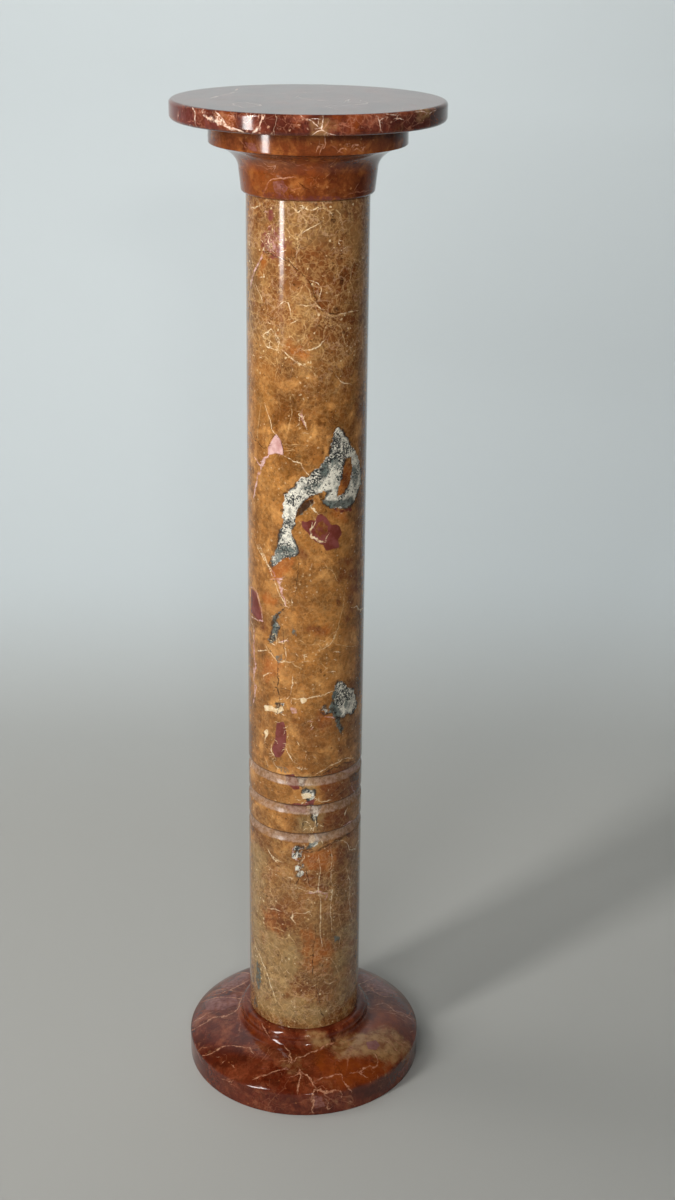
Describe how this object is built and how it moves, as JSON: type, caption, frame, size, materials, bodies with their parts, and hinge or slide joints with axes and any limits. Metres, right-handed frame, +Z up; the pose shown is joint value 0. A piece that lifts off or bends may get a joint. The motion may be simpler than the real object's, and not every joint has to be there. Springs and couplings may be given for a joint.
{
  "type": "marble column",
  "caption": "Round turned marble pedestal column: domed base, tapered shaft with ring grooves, cavetto capital and flat disc top.",
  "frame": {"origin": "middle of the base's flat underside, on the column's axis", "axes": "+Z up along the column's axis; -Y towards the side that the picture shows"},
  "size_m": [0.25, 0.25, 1.016],
  "materials": {
    "base_marble": "polished",
    "shaft_marble": "polished",
    "capital_marble": "polished",
    "slab_marble": "polished"
  },
  "bodies": {
    "root": {"base": "base_marble", "shaft": "shaft_marble", "capital": "capital_marble", "top_slab": "slab_marble"}
  },
  "joints": []
}
